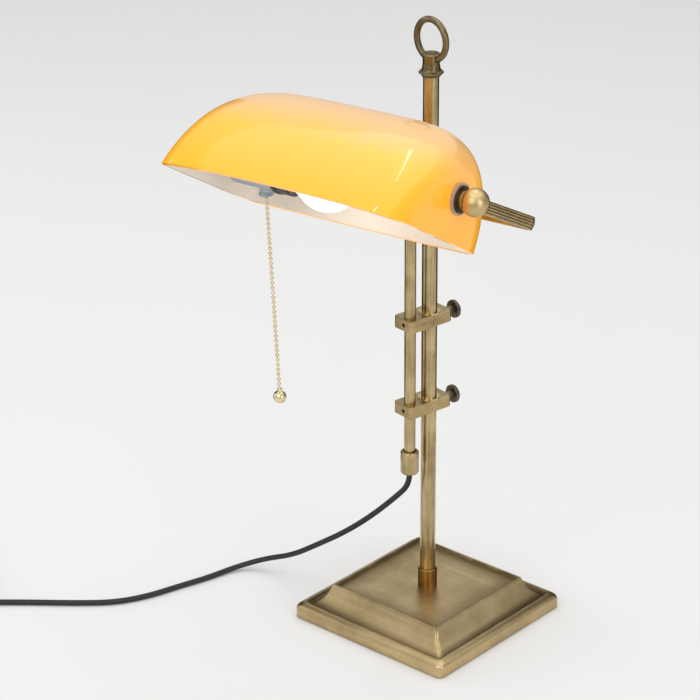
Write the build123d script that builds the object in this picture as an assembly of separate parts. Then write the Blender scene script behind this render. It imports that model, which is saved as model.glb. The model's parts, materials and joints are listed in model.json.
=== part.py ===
from build123d import *
import os
from math import cos, pi, radians, sin, tan

# Banker desk lamp: a square moulded base, a round main post with a ring finial, two
# clamp blocks that slide and turn on the post, a thin rod held by the blocks, and a
# U-shaped reeded yoke on a knuckle at the rod's top. Two ball knobs hold the glass shade
# between the yoke's arms. The lampholder, its pull switch and the lamp hang inside.
#
# Frame: millimetres, +Z up, origin at the centre of the base's underside. +X is the
# lamp's right and -Y its front. Head pieces are drawn about the ball-knob axis, with
# that axis along X and the front at -Y, and then placed.

# ---------------------------------------------------------------- driving sizes
# base
BASE_SIDE = 170.0
BASE_CORNER_R = 6.0
BASE_WALL = 2.0
SKIRT_H = 9.0            # straight part of the skirt
STEP_Z = 14.4            # groove between skirt and cove
STEP_IN = 8.8            # groove, measured in from the skirt face
RIDGE_Z = 31.0           # top edge of the cove
RIDGE_IN = 25.0          # ridge, measured in from the skirt face
RIDGE_W = 1.0            # flat on top of the ridge
PANEL_DROP = 3.4         # panel lies this far below the ridge
PANEL_BEVEL = 2.2
FELT_T = 1.5
FELT_GAP = 0.5
COVER_LIFT = 0.5         # cover's lower edge above the felt's underside
BALLAST_T = 10.0
BALLAST_GAP = 13.0       # ballast to the skirt's inner face
NUT_WELL_H = 6.5         # room for the nut and its washer under the ballast
NUT_WELL_R = 13.5
BASE_NUT_R = 8.5
BASE_NUT_T = 4.2
BASE_WASHER_R = 11.5
BASE_WASHER_T = 1.2

# post
POST_R = 6.75
POST_BORE_R = 5.4
POST_TOP = 509.5
NIPPLE_R = 5.0
NIPPLE_BORE_R = 3.6
NIPPLE_GAP = 0.3         # nipple to the plain holes it passes through
FOOT_R = 8.5
FOOT_H = 18.0
FOOT_THREAD_H = 8.5      # lower part of the foot collar, screwed on the nipple
FOOT_EDGE = 1.0

# finial
COLLAR_R = 7.6
COLLAR_FLANGE_R = 10.6
COLLAR_H = 19.5
COLLAR_BASE_H = 5.0
COLLAR_SEAT = 5.0        # depth of the post in the collar
RING_SINK = 5.8          # ring's lowest centreline point below the collar's top
RING_WIRE_R = 2.75
RING_MID_R = 17.1
RING_YAW = -6.6          # ring's plane, turned about the post

# carriage: two blocks on the post, and the rod
CARRIAGE_YAW = -9.5
ROD_OFFSET = 21.6        # rod axis in front of post axis
ROD_R = 5.0
ROD_BORE_R = 3.6
BLOCK_TOPS = {"upper": 294.0, "lower": 213.5}
BLOCK_H = 11.0
BLOCK_LEFT = POST_R + 6.45   # block's sides from the line through post and rod
BLOCK_RIGHT = POST_R + 3.05
BLOCK_FRONT = 29.0       # block end in front of the post axis
BLOCK_BACK = 17.5
BLOCK_CORNER_R = 3.0
LINER_WALL = 1.6
LINER_FLANGE_W = 1.1
LINER_FLANGE_T = 1.0
LINER_PROUD = 0.6
RUN_FIT = 0.05           # radial clearance of a shaft that turns or slides in its hole
GRUB_R = 2.0
GRUB_SOCKET_R = 1.0
GRUB_SOCKET_L = 1.3
SCREW_R = 2.5            # thumbscrew shank
TIP_GAP = 0.3            # thumbscrew's tip to the liner
SCREW_HEAD_R = 8.0
SCREW_HEAD_T = 3.6
SCREW_NECK_R = 4.0
SCREW_HEAD_GAP = 8.5     # block end to the head's near face
KNURLS = 28
ROD_CAP_R = 8.0
ROD_CAP_BOTTOM = 146.5
ROD_CAP_H = 21.5
CORD_R = 2.5
GRIP_R = 3.6
GRIP_L = 7.0

# knuckle
KNUCKLE_DROP = 17.0      # knuckle pivot below the yoke's back bar
FORK_BASE_R = 7.0
FORK_BASE_H = 6.0
FORK_SOCKET_H = 3.0
FORK_REACH = 9.5         # fork base top to the pivot
FORK_W = 13.0
EAR_R = 6.5
EAR_CLEAR = 1.2          # slot floor below the ears' round
TONGUE_T = 5.0
TONGUE_GAP = 0.15
TONGUE_R = 5.7
SADDLE_L = 16.0
SADDLE_WALL = 2.1
SADDLE_FLOOR = 3.0
PIVOT_R = 2.5
PIVOT_HEAD_R = 4.1
PIVOT_HEAD_H = 2.2

# yoke
HEAD_YAW = 6.6
YOKE_TILT = 27.0         # arms rise to the front
YOKE_REACH = 124.6       # ball axis to the back bar's middle
YOKE_CORNER_R = 10.4     # inner corner radius
ARM_T = 4.0
ARM_H = 11.4
RIBS = 5
RIB_RISE = 0.9
ARM_CROWN = 1.5                  # how far the arm's outer side falls back at its edges
ARM_EYE_R = 8.0
ARM_BORE_R = 5.0
HEAD_REACH = 108.2       # ball axis ahead of the rod, level distance
HEAD_Z = 459.6           # ball axis height

# shade
SHADE_TILT = 30.5        # rim rises to the front
SHADE_L = 231.0
SHADE_W = 151.5
SHADE_H = 89.7
SHADE_WALL = 3.5
SHADE_PIVOT_H = 34.5     # ball axis above the rim
SHADE_RIM_FORWARD = 10.3 # rim centre ahead of the ball axis
SHADE_LEAN = 22.3        # crown leans back from the rim centre
SHADE_END_POWER = 4.8    # roundness of the front outline
SHADE_SIDE_POWER = 1.75  # roundness of the cross-section
SHADE_RIM_CORNER = 26.0
SHADE_CORNER_GROWTH = 34.0
SHADE_HOLE_R = 5.6

# what holds the shade
CLEAR_WASHER_R = 13.0
INNER_WASHER_R = 8.5
CLEAR_WASHER_T = 2.0
WASHER_GAP = 0.1         # outer washer to the widest part of the glass
INNER_WASHER_GAP = 1.1   # inner washer to the glass, which draws in as it rises
DISC_R = 11.0
DISC_T = 1.6
STACK_GAP = 0.1          # between stacked faces that turn on each other
BALL_R = 11.5
BALL_FLAT = 6.8          # ball's middle to its seat
STUD_REACH = 3.0         # stud past the ball's middle
STUD_R = 4.85
NUT_R = 8.0
NUT_T = 5.0

# lampholder, drawn about its own axis
LAMP_DROP = 8.5          # lampholder axis below the ball axis
BRACKET_T = 9.0
BRACKET_TOP_R = 11.0
BRACKET_LOW_R = 13.0
BRACKET_WEB = 0.5        # left between the two blind bores
WIREWAY_R = 3.0
HOLDER_R = 20.0
HOLDER_WALL = 1.0
HOLDER_CAP_L = 11.0
HOLDER_BODY_L = 37.0
HOLDER_RING_L = 16.0
HOLDER_RING_R = 21.4
HOLDER_FIT = 0.1
INSULATOR_GAP = 1.0
INSULATOR_T = 5.0
SHELL_R = 14.0           # thread shell for a 27 mm lamp cap
SHELL_WALL = 0.5
SHELL_BACK = 4.0         # shell's end to the skirt ring's shoulder
LAMP_SEAT = 28.0         # lamp's contact behind the skirt ring's shoulder
LAMP_CAP_R = 13.2
LAMP_CAP_L = 26.0
LAMP_CAP_WALL = 0.6
LAMP_R = 27.0
LAMP_L = 100.0
SWITCH_IN = 19.3         # switch axis from the body's left end
SWITCH_R = 5.0
BELL_R = 6.5
BELL_REACH = 26.5        # lampholder axis to the bell's mouth
PLUNGER_R = 1.7
PLUNGER_L = 8.4
PLUNGER_RISE = 3.0       # plunger's lower end above the bell's mouth

# pull chain
BEAD_R = 1.6
BEAD_PITCH = 4.3
BEADS = 41
LINK_R = 0.55
CHAIN_LEAN = 3.2         # the chain hangs a little to the right
CHAIN_GAP = 0.3          # plunger's end to the first link
PULL_BALL_R = 5.6

# cord: 1.8 m of round mains flex
COIL_CENTRE = (-363.3, -250.0)
COIL_MID_R = 27.3
COIL_BUNDLE_W = 23.8
COIL_BUNDLE_H = 10.0
COIL_EDGE_R = 2.4
COIL_LIFT = 0.7
TIE_T = 0.6
TIE_W = 6.0
TIE_GAP = 0.35
TIE_ANGLE = 100.0        # where the tie is, round the coil
PLUG_X, PLUG_Y = -416.0, -242.0
PLUG_RELIEF_L = 22.0
PLUG_L = 35.0
PLUG_W = 26.0
PLUG_T = 13.7
PIN_R = 2.0
PIN_L = 19.0
PIN_SPACING = 19.0

# The lead leaves the rod cap, drops to the floor and runs out to the coil.
LEAD_ROUTE = [
    (-3.6, -21.3, 146.5), (-3.6, -21.3, 133.0), (-16.5, -22.4, 115.5), (-42.4, -24.7, 88.5),
    (-71.3, -27.2, 63.0), (-102.2, -29.9, 42.0), (-134.1, -32.7, 23.5), (-164.0, -36.0, 11.0),
    (-184.0, -56.0, 3.2), (-190.0, -86.0, 2.6), (-199.5, -117.0, 2.6), (-207.5, -147.0, 2.6),
    (-222.0, -175.0, 2.6), (-248.0, -199.0, 2.6), (-282.0, -226.0, 2.6), (-311.0, -251.5, 2.8),
    (-336.0, -274.6, 3.2),
]
# The tail leaves the coil's top turn and drops to the plug.
TAIL_ROUTE = [
    (-366.3, -284.7, 8.2), (-383.0, -286.0, 6.8), (-401.0, -281.0, 3.9), (-413.0, -265.5, 3.2),
    (-416.0, -242.0, 3.6),
]

OUT = "parts"
os.makedirs(OUT, exist_ok=True)


# ---------------------------------------------------------------- helpers
def write(node, *shapes):
    """Write one node: its solids, as one STEP file."""
    solids = [solid for shape in shapes for solid in shape.solids()]
    whole = solids[0] if len(solids) == 1 else Compound(children=solids)
    whole.label = node
    export_step(whole, f"{OUT}/{node}.step")


def rod_z(radius, z_low, z_high, bore=0.0):
    """An upright round bar, or a tube when it has a bore."""
    bar = Pos(0, 0, z_low) * Cylinder(radius, z_high - z_low, align=(Align.CENTER, Align.CENTER, Align.MIN))
    if bore:
        bar -= Pos(0, 0, z_low) * Cylinder(bore, z_high - z_low, align=(Align.CENTER, Align.CENTER, Align.MIN))
    return bar


def rod_x(radius, x_low, x_high, bore=0.0):
    """The same along X."""
    return Rot(Y=90) * rod_z(radius, x_low, x_high, bore)


def rod_y(radius, y_low, y_high, bore=0.0):
    """The same along Y."""
    return Rot(X=-90) * rod_z(radius, y_low, y_high, bore)


def hexagon_z(across_corners_r, z_low, z_high):
    """A six-sided prism about Z."""
    face = RegularPolygon(across_corners_r, 6)
    return Pos(0, 0, z_low) * extrude(face, z_high - z_low)


def turned(points):
    """Revolve a closed outline of (radius, z) points about Z."""
    outline = make_face(Polyline(*[(r, 0, z) for r, z in points], close=True))
    return revolve(outline, Axis.Z)


def tube_along(route, radius, name):
    """Sweep a round tube along straight runs joined by tangent arcs."""
    points = [Vector(*p) for p in route]
    radii = []
    for before, here, after in zip(points, points[1:], points[2:]):
        run_in, run_out = here - before, after - here
        turn = radians(run_in.get_angle(run_out))
        radii.append(0.45 * min(run_in.length, run_out.length) / tan(turn / 2))
    path = FilletPolyline(*points, radius=radii)
    section = Plane(origin=path @ 0, z_dir=path % 0) * Circle(radius)
    tube = sweep(section, path=path)
    ratio = tube.volume / (pi * radius**2 * path.length)
    print(f"{name}: {path.length:.1f} mm long, radii {[round(r, 1) for r in radii]}, volume ratio {ratio:.4f}")
    return tube


# ---------------------------------------------------------------- placements
ROD_X = ROD_OFFSET * sin(radians(CARRIAGE_YAW))
ROD_Y = -ROD_OFFSET * cos(radians(CARRIAGE_YAW))
carriage_place = Rot(Z=CARRIAGE_YAW)
rod_place = Pos(ROD_X, ROD_Y, 0) * Rot(Z=HEAD_YAW)
HEAD_X = ROD_X + HEAD_REACH * sin(radians(HEAD_YAW))
HEAD_Y = ROD_Y - HEAD_REACH * cos(radians(HEAD_YAW))
head_place = Pos(HEAD_X, HEAD_Y, HEAD_Z) * Rot(Z=HEAD_YAW)
yoke_place = head_place * Rot(X=-YOKE_TILT)
shade_place = head_place * Rot(X=-SHADE_TILT)
BAR_Z = HEAD_Z - YOKE_REACH * sin(radians(YOKE_TILT))
KNUCKLE_Z = BAR_Z - KNUCKLE_DROP


# ---------------------------------------------------------------- base
def moulding():
    """The base's outline from its underside to the ridge, as a solid of square plan."""
    half = BASE_SIDE / 2
    step, ridge = half - STEP_IN, half - RIDGE_IN
    width, rise = step - ridge, RIDGE_Z - STEP_Z
    hollow = (step - 0.62 * width, STEP_Z + 0.38 * rise)     # the cove's deepest point
    with BuildPart() as bar:
        with BuildSketch(Plane.XZ):
            with BuildLine():
                Polyline((0, 0), (half, 0), (half, SKIRT_H))
                EllipticalCenterArc((step, SKIRT_H), STEP_IN, STEP_Z - SKIRT_H, 0, arc_size=90)
                ThreePointArc((step, STEP_Z), hollow, (ridge, RIDGE_Z))
                Polyline((ridge, RIDGE_Z), (0, RIDGE_Z), (0, 0))
            make_face()
            mirror(about=Plane.YZ)
        extrude(amount=BASE_SIDE, both=True)
    return bar.part & (Rot(Z=90) * bar.part)


def square(half, z):
    return Pos(0, 0, z) * Rectangle(2 * half, 2 * half)


def make_base():
    """The hollow cover, and the ballast, felt, nut, washer and spacer inside it."""
    half = BASE_SIDE / 2
    panel_z = RIDGE_Z - PANEL_DROP
    roof = panel_z - BASE_WALL
    rim = half - RIDGE_IN - RIDGE_W
    cover = moulding() & extrude(RectangleRounded(BASE_SIDE, BASE_SIDE, BASE_CORNER_R), RIDGE_Z)
    cover -= loft([square(rim - PANEL_BEVEL, panel_z), square(rim, RIDGE_Z)])
    inside = BASE_SIDE - 2 * BASE_WALL
    inside_r = BASE_CORNER_R - BASE_WALL
    cover -= extrude(RectangleRounded(inside, inside, inside_r), SKIRT_H)
    cover -= loft([square(half - STEP_IN - BASE_WALL, SKIRT_H),
                   square(half - RIDGE_IN - BASE_WALL - PANEL_BEVEL, roof)])
    cover -= extrude(Rectangle(BASE_SIDE, BASE_SIDE), COVER_LIFT)
    cover -= rod_z(NIPPLE_R + NIPPLE_GAP, 0, RIDGE_Z)
    write("base_cover", cover)

    felt_side = inside - 2 * FELT_GAP
    felt = extrude(RectangleRounded(felt_side, felt_side, inside_r), FELT_T)
    write("base_felt", felt)

    ballast_top = FELT_T + BALLAST_T
    well_top = FELT_T + NUT_WELL_H
    washer_low = well_top - BASE_WASHER_T
    ballast = extrude(square(half - BASE_WALL - BALLAST_GAP, FELT_T), BALLAST_T)
    ballast -= rod_z(NIPPLE_R + NIPPLE_GAP, 0, ballast_top) + rod_z(NUT_WELL_R, 0, well_top)
    write("base_ballast", ballast)
    write("base_washer", rod_z(BASE_WASHER_R, washer_low, well_top, NIPPLE_R + NIPPLE_GAP))
    nut = hexagon_z(BASE_NUT_R, washer_low - BASE_NUT_T, washer_low)
    write("base_nut", nut - rod_z(NIPPLE_R, 0, well_top))
    write("base_spacer", rod_z(FOOT_R, ballast_top, roof, NIPPLE_R + NIPPLE_GAP))
    nipple_low = washer_low - BASE_NUT_T - 0.6
    write("post_nipple", rod_z(NIPPLE_R, nipple_low, panel_z + FOOT_THREAD_H, NIPPLE_BORE_R))
    return panel_z


# ---------------------------------------------------------------- post and finial
def make_post(panel_z):
    """The main post in its foot collar, and the collar and ring on its top."""
    seat = panel_z + FOOT_THREAD_H
    foot_top = panel_z + FOOT_H
    write("main_post", rod_z(POST_R, seat, POST_TOP, POST_BORE_R))
    write("foot_collar", turned([
        (NIPPLE_R, panel_z), (FOOT_R, panel_z), (FOOT_R, foot_top - FOOT_EDGE), (FOOT_R - FOOT_EDGE, foot_top),
        (POST_R, foot_top), (POST_R, seat), (NIPPLE_R, seat)]))

    low = POST_TOP - COLLAR_SEAT
    top = low + COLLAR_H
    neck = low + COLLAR_BASE_H
    collar = turned([
        (0, POST_TOP), (POST_R, POST_TOP), (POST_R, low), (POST_R + 1.2, low), (POST_R + 1.6, low + 1.2),
        (COLLAR_FLANGE_R - 0.8, low + 2.2), (COLLAR_FLANGE_R, low + 3.2), (COLLAR_FLANGE_R - 0.8, low + 4.2),
        (COLLAR_R + 0.8, neck), (COLLAR_R + 0.2, neck + 1.5), (COLLAR_R - 0.5, neck + 6.0), (COLLAR_R, top - 1.0),
        (COLLAR_R - 0.8, top), (COLLAR_R - 2.2, top), (COLLAR_R - 3.4, top - 1.6), (0, top - 1.6)])
    ring_z = top - RING_SINK + RING_MID_R
    ring = Pos(0, 0, ring_z) * Rot(Z=RING_YAW) * Rot(X=90) * Torus(RING_MID_R, RING_WIRE_R)
    write("finial_collar", collar - ring)
    write("finial_ring", ring)


# ---------------------------------------------------------------- carriage
def knurled_head(radius, thickness, knurls):
    """A disc about Z from z = 0, with grooves across its rim and rounded edges."""
    head = chamfer(Cylinder(radius, thickness, align=(Align.CENTER, Align.CENTER, Align.MIN)).edges(), 0.6)
    groove = Pos(radius + 0.25, 0, 0) * Cylinder(0.6, thickness, align=(Align.CENTER, Align.CENTER, Align.MIN))
    for i in range(knurls):
        head -= Rot(Z=360 * i / knurls) * groove
    return head


def make_block(name, top):
    """One clamp block with its liner and thumbscrew; gives back its grub screw."""
    low = top - BLOCK_H
    middle_y = (BLOCK_BACK - BLOCK_FRONT) / 2
    liner_r = POST_R + RUN_FIT + LINER_WALL
    middle_x = (BLOCK_RIGHT - BLOCK_LEFT) / 2
    block = Pos(middle_x, middle_y, low) * extrude(
        RectangleRounded(BLOCK_LEFT + BLOCK_RIGHT, BLOCK_FRONT + BLOCK_BACK, BLOCK_CORNER_R), BLOCK_H)
    block = chamfer(block.edges().group_by(Axis.Z)[0] + block.edges().group_by(Axis.Z)[-1], 0.5)
    flange_r = liner_r + LINER_FLANGE_W
    flange_low = top - LINER_FLANGE_T
    seat = rod_z(liner_r + RUN_FIT, low, top) + rod_z(flange_r + RUN_FIT, flange_low - RUN_FIT, top)
    mid_z = top - BLOCK_H / 2
    rod = Pos(0, -ROD_OFFSET, 0) * rod_z(ROD_R, low, top)
    block -= seat + rod
    block -= Pos(0, 0, mid_z) * rod_y(GRUB_R, -BLOCK_FRONT, -ROD_OFFSET)
    block -= Pos(0, 0, mid_z) * rod_y(SCREW_R + RUN_FIT, 0, BLOCK_BACK)
    write(f"{name}_clamp_block", carriage_place * block)

    bore = POST_R + RUN_FIT
    liner = rod_z(liner_r, low, top, bore) + rod_z(flange_r, flange_low, top + LINER_PROUD, bore)
    write(f"{name}_liner", carriage_place * liner)

    socket = rod_y(GRUB_SOCKET_R, -BLOCK_FRONT, -BLOCK_FRONT + GRUB_SOCKET_L)
    grub = Pos(0, 0, mid_z) * (rod_y(GRUB_R, -BLOCK_FRONT + 0.3, -ROD_OFFSET) - socket) - rod

    head_y = BLOCK_BACK + SCREW_HEAD_GAP
    screw = rod_y(SCREW_R, liner_r + TIP_GAP, head_y) + rod_y(SCREW_NECK_R, BLOCK_BACK + 0.6, head_y)
    screw += Pos(0, head_y, 0) * Rot(X=-90) * knurled_head(SCREW_HEAD_R, SCREW_HEAD_T, KNURLS)
    write(f"{name}_thumbscrew", carriage_place * Pos(0, 0, mid_z) * screw)
    return carriage_place * grub


def make_rod():
    """The thin rod, the cap on its lower end and the bush where the cord comes out."""
    cap_top = ROD_CAP_BOTTOM + ROD_CAP_H
    rod_low = ROD_CAP_BOTTOM + GRIP_L
    fork_low = KNUCKLE_Z - FORK_REACH - FORK_BASE_H
    write("cord_rod", rod_place * rod_z(ROD_R, rod_low, fork_low + FORK_SOCKET_H, ROD_BORE_R))
    cap = turned([
        (GRIP_R, ROD_CAP_BOTTOM), (ROD_CAP_R - 2.0, ROD_CAP_BOTTOM), (ROD_CAP_R - 0.6, ROD_CAP_BOTTOM + 0.7),
        (ROD_CAP_R, ROD_CAP_BOTTOM + 2.2), (ROD_CAP_R, cap_top - 1.4), (ROD_CAP_R - 0.9, cap_top - 0.2),
        (ROD_CAP_R - 1.7, cap_top), (ROD_R, cap_top - 1.3), (ROD_R, rod_low), (GRIP_R, rod_low)])
    screw_z = ROD_CAP_BOTTOM + ROD_CAP_H * 0.55
    screw = Pos(0, 0, screw_z) * rod_x(1.5, -ROD_CAP_R - 1.0, -ROD_R)
    cap -= screw
    screw -= rod_z(ROD_R, rod_low, cap_top)
    write("rod_cap", rod_place * cap)
    write("cap_set_screw", rod_place * screw)
    write("cord_grip", rod_place * rod_z(GRIP_R, ROD_CAP_BOTTOM, rod_low))
    return fork_low


def make_knuckle(fork_low):
    """The fork on the rod's top and the screw that the yoke's tongue turns on."""
    base_top = fork_low + FORK_BASE_H
    fork = rod_z(FORK_BASE_R, fork_low, base_top)
    ears = Pos(0, 0, base_top - 1) * extrude(Rectangle(FORK_W, 2 * EAR_R), FORK_REACH + 1)
    ears += Pos(0, 0, KNUCKLE_Z) * rod_x(EAR_R, -FORK_W / 2, FORK_W / 2)
    slot_w = TONGUE_T + 2 * TONGUE_GAP
    ears -= Pos(0, 0, KNUCKLE_Z - EAR_R - EAR_CLEAR) * extrude(Rectangle(slot_w, 4 * EAR_R), 4 * EAR_R)
    fork += ears
    fork -= rod_z(ROD_R, fork_low, fork_low + FORK_SOCKET_H)
    fork -= Pos(0, 0, KNUCKLE_Z) * rod_x(PIVOT_R, -FORK_W, FORK_W)
    write("knuckle_fork", rod_place * fork)
    pin = rod_x(PIVOT_R, -FORK_W / 2, FORK_W / 2 + 0.5)
    pin += rod_x(PIVOT_HEAD_R, -FORK_W / 2 - PIVOT_HEAD_H, -FORK_W / 2)
    pin -= Pos(-FORK_W / 2 - PIVOT_HEAD_H, 0, 0) * Box(1.6, 3 * PIVOT_HEAD_R, 0.8)
    write("knuckle_screw", rod_place * Pos(0, 0, KNUCKLE_Z) * pin)


# ---------------------------------------------------------------- yoke
GLASS_END = SHADE_L / 2
WASHER_IN = GLASS_END + WASHER_GAP
DISC_IN = WASHER_IN + CLEAR_WASHER_T + STACK_GAP
ARM_IN = DISC_IN + DISC_T
ARM_OUT = ARM_IN + ARM_T
INNER_WASHER_OUT = GLASS_END - SHADE_WALL - INNER_WASHER_GAP
NUT_FACE = INNER_WASHER_OUT - CLEAR_WASHER_T - STACK_GAP


def arm_section():
    """The arm's outline: flat inside, ribs over a crowned outer side. Drawn with X outwards, Y up."""
    pitch = ARM_H / RIBS

    def body_t(y):
        return ARM_T - RIB_RISE - ARM_CROWN * (2 * y / ARM_H) ** 2

    with BuildSketch() as section:
        with BuildLine():
            edge = ARM_H / 2
            Polyline((body_t(edge), -edge), (0.6, -edge), (0, -edge + 0.6), (0, edge - 0.6), (0.6, edge),
                     (body_t(edge), edge))
            for i in range(RIBS):
                low = -edge + i * pitch
                middle, high = low + pitch / 2, low + pitch
                ThreePointArc((body_t(low), low), (body_t(middle) + RIB_RISE, middle), (body_t(high), high))
        make_face()
    return section.sketch


def yoke_path():
    """The inner face's line from the right eye round the back to the left eye."""
    corner = YOKE_CORNER_R
    side, back = ARM_IN - corner, YOKE_REACH - ARM_T / 2 - corner
    start = ARM_EYE_R - 1.5
    with BuildLine() as line:
        Line((ARM_IN, start), (ARM_IN, back))
        CenterArc((side, back), corner, 0, 90)
        Line((side, back + corner), (-side, back + corner))
        CenterArc((-side, back), corner, 90, 90)
        Line((-ARM_IN, back), (-ARM_IN, start))
    return line.wire()


def make_yoke():
    """The bent, reeded flat bar, and the tongue and saddle that hang it on the knuckle."""
    path = yoke_path()
    start_plane = Plane(origin=path @ 0, x_dir=(1, 0, 0), z_dir=(0, 1, 0))
    yoke = sweep(start_plane * arm_section(), path=path)
    for side in (-1, 1):
        yoke += rod_x(ARM_EYE_R, *sorted((side * ARM_IN, side * ARM_OUT)))
    yoke -= rod_x(STUD_R, -ARM_OUT - 1, ARM_OUT + 1)
    write("yoke_frame", yoke_place * yoke)

    pivot = (yoke_place.inverse() * rod_place * Pos(0, 0, KNUCKLE_Z)).position
    saddle_low = -ARM_H / 2 - SADDLE_FLOOR
    with BuildPart() as tongue:
        with BuildSketch(Plane.YZ.offset(-TONGUE_T / 2)):
            with Locations((pivot.Y, pivot.Z)):
                Circle(TONGUE_R)
            with BuildLine():
                Polyline((pivot.Y - TONGUE_R, pivot.Z), (YOKE_REACH - 3.5, saddle_low + 1),
                         (YOKE_REACH + 3.5, saddle_low + 1), (pivot.Y + TONGUE_R, pivot.Z), close=True)
            make_face()
        extrude(amount=TONGUE_T)
    depth = ARM_T + 2 * SADDLE_WALL
    saddle = Pos(0, YOKE_REACH, saddle_low) * extrude(Rectangle(SADDLE_L, depth), ARM_H + SADDLE_FLOOR)
    hanger = tongue.part + saddle
    hanger -= yoke
    hanger -= Pos(0, pivot.Y, pivot.Z) * rod_x(PIVOT_R + RUN_FIT, -TONGUE_T, TONGUE_T)
    write("knuckle_tongue", yoke_place * hanger)


# ---------------------------------------------------------------- shade
def shade_level(height, wall):
    """The shade's plan outline at a height above the rim, inset by a wall."""
    crown = SHADE_H - wall
    t = height / crown
    half_l = (SHADE_L / 2 - wall) * (1 - t**SHADE_END_POWER) ** (1 / SHADE_END_POWER)
    half_w = (SHADE_W / 2 - wall) * (1 - t**SHADE_SIDE_POWER) ** (1 / SHADE_SIDE_POWER)
    corner = min(0.96 * half_w, SHADE_RIM_CORNER - wall + SHADE_CORNER_GROWTH * t)
    y = -SHADE_RIM_FORWARD + SHADE_LEAN * height / SHADE_H
    return Pos(0, y, height - SHADE_PIVOT_H) * RectangleRounded(2 * half_l, 2 * half_w, corner)


def shade_body(wall):
    levels = (0.0, 0.2, 0.4, 0.6, 0.76, 0.88, 0.95, 0.985)
    return loft([shade_level(t * (SHADE_H - wall), wall) for t in levels])


def make_shade():
    """The glass, with the clear washers that cushion it."""
    glass = shade_body(0.0) - shade_body(SHADE_WALL)
    glass -= rod_x(SHADE_HOLE_R, -SHADE_L, SHADE_L)
    write("shade_glass", shade_place * glass)
    bore = STUD_R + NIPPLE_GAP
    inner_low = INNER_WASHER_OUT - CLEAR_WASHER_T
    for name, side in (("left", -1), ("right", 1)):
        outer = rod_x(CLEAR_WASHER_R, *sorted((side * WASHER_IN, side * (WASHER_IN + CLEAR_WASHER_T))), bore)
        inner = rod_x(INNER_WASHER_R, *sorted((side * inner_low, side * INNER_WASHER_OUT)), bore)
        write(f"{name}_outer_washer", shade_place * outer)
        write(f"{name}_inner_washer", shade_place * inner)


def make_shade_hardware():
    """Discs, ball knobs, and the stud and nipple that carry the shade."""
    ball_x = ARM_OUT + STACK_GAP / 2 + BALL_FLAT
    seat = ball_x - BALL_FLAT
    stud_end = ball_x + STUD_REACH
    for name, side in (("left", -1), ("right", 1)):
        disc = rod_x(DISC_R, *sorted((side * DISC_IN, side * ARM_IN)), STUD_R)
        write(f"{name}_disc", yoke_place * disc)
        ball = Pos(side * ball_x, 0, 0) * Sphere(BALL_R)
        ball -= Pos(side * (seat - BALL_R), 0, 0) * Box(2 * BALL_R, 3 * BALL_R, 3 * BALL_R)
        ball -= rod_x(STUD_R + RUN_FIT, *sorted((side * seat, side * (stud_end + 1))))
        write(f"{name}_ball_knob", yoke_place * ball)
    stud_low = NUT_FACE - NUT_T - 2
    nut = Rot(Y=90) * hexagon_z(NUT_R, NUT_FACE - NUT_T, NUT_FACE) - rod_x(STUD_R, stud_low, NUT_FACE)
    write("right_nut", yoke_place * nut)
    write("right_stud", yoke_place * rod_x(STUD_R, stud_low, stud_end))
    write("left_nipple", yoke_place * rod_x(STUD_R, -stud_end, -NUT_FACE + BRACKET_T / 2, WIREWAY_R))


# ---------------------------------------------------------------- lampholder, switch and lamp
BRACKET_X = -NUT_FACE
CAP_X = BRACKET_X + BRACKET_T
BODY_X = CAP_X + HOLDER_CAP_L
RING_X = BODY_X + HOLDER_BODY_L
RING_END_X = RING_X + HOLDER_RING_L
INSULATOR_END_X = BODY_X + INSULATOR_GAP + INSULATOR_T
LAMP_X = RING_X - LAMP_SEAT
SWITCH_X = BODY_X + SWITCH_IN
holder_place = head_place * Pos(0, 0, -LAMP_DROP)


def about_x(points):
    """Revolve a closed outline of (radius, x) points about X."""
    return Rot(Y=90) * turned(points)


def make_bracket():
    """The plate between the yoke's nipple and the lampholder's."""
    lower = Pos(0, 0, -LAMP_DROP)
    split = BRACKET_X + BRACKET_T / 2 + BRACKET_WEB
    plate = rod_x(BRACKET_TOP_R, BRACKET_X, CAP_X) + lower * rod_x(BRACKET_LOW_R, BRACKET_X, CAP_X)
    plate -= rod_x(STUD_R, BRACKET_X, BRACKET_X + BRACKET_T / 2)
    plate -= lower * rod_x(STUD_R, split, CAP_X)
    write("holder_bracket", head_place * plate)
    write("holder_stub", holder_place * rod_x(STUD_R, split, CAP_X + HOLDER_WALL + 2, WIREWAY_R))


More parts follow.
